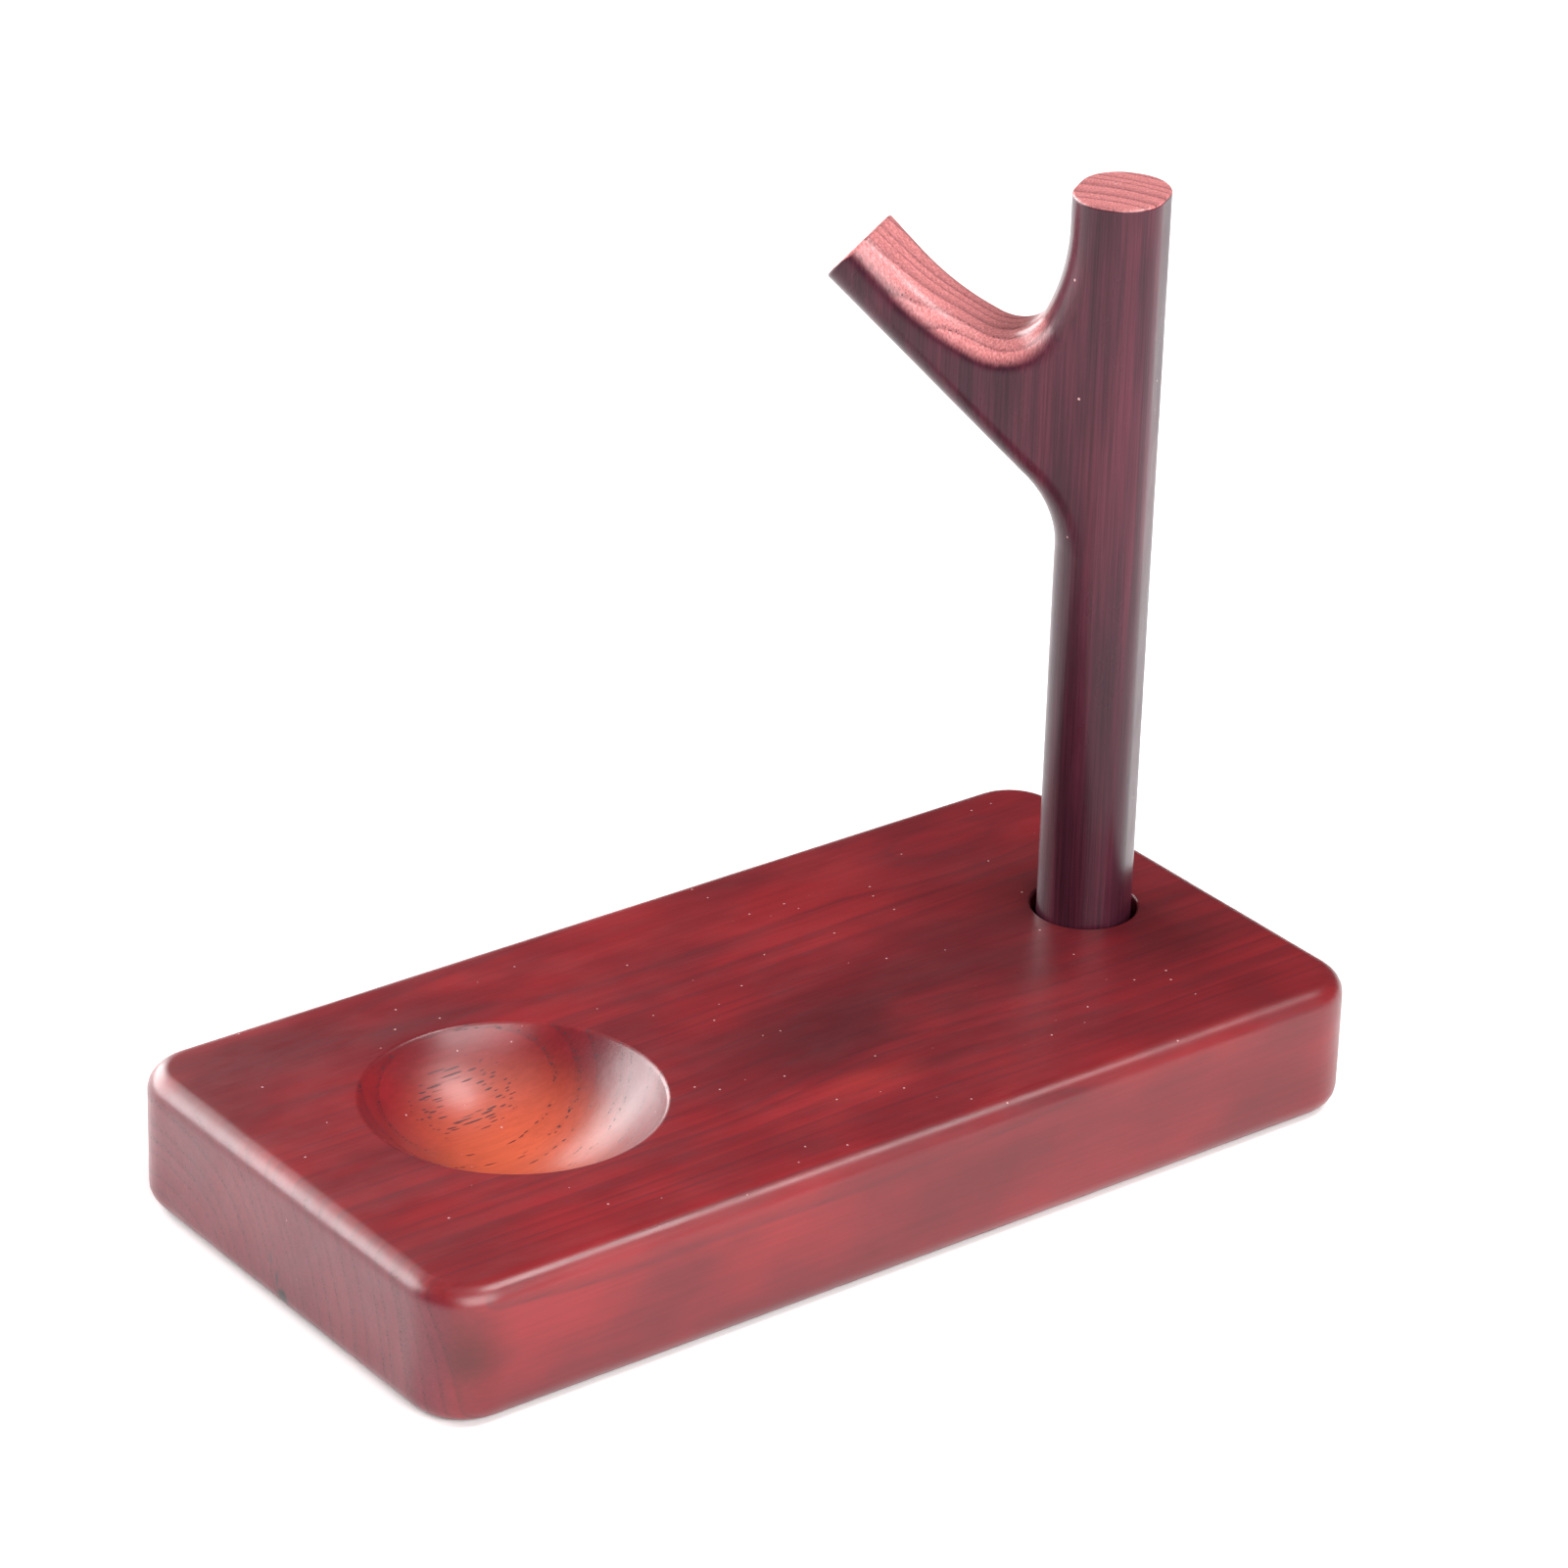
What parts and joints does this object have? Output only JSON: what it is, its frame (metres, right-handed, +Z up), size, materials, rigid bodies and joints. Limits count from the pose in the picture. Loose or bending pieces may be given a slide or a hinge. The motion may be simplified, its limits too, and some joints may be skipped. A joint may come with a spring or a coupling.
{
  "type": "razor stand",
  "caption": "Wooden razor stand: a long rounded base block with a shallow round dish at one end and an upright forked post with a slanting arm in a round socket at the other.",
  "frame": {"origin": "middle of the underside of the base block, on the surface it stands on", "axes": "+Z up; +X along the base from the dish to the socket; +Y towards the side that the fork's arm points to at rest"},
  "size_m": [0.15, 0.0746, 0.1241],
  "materials": {
    "base_wood": "glossy lacquer over red mahogany stain, open grain",
    "post_wood": "satin lacquer over dark red mahogany stain, open grain"
  },
  "bodies": {
    "base": {"base_block": "base_wood"},
    "post": {"forked_post": "post_wood"}
  },
  "joints": [
    {"name": "post_turn", "type": "hinge", "parent": "base", "child": "post", "pos_m": [0.05675, 0.001, 0.0056], "axis": [0, 0, 1], "continuous": true}
  ]
}
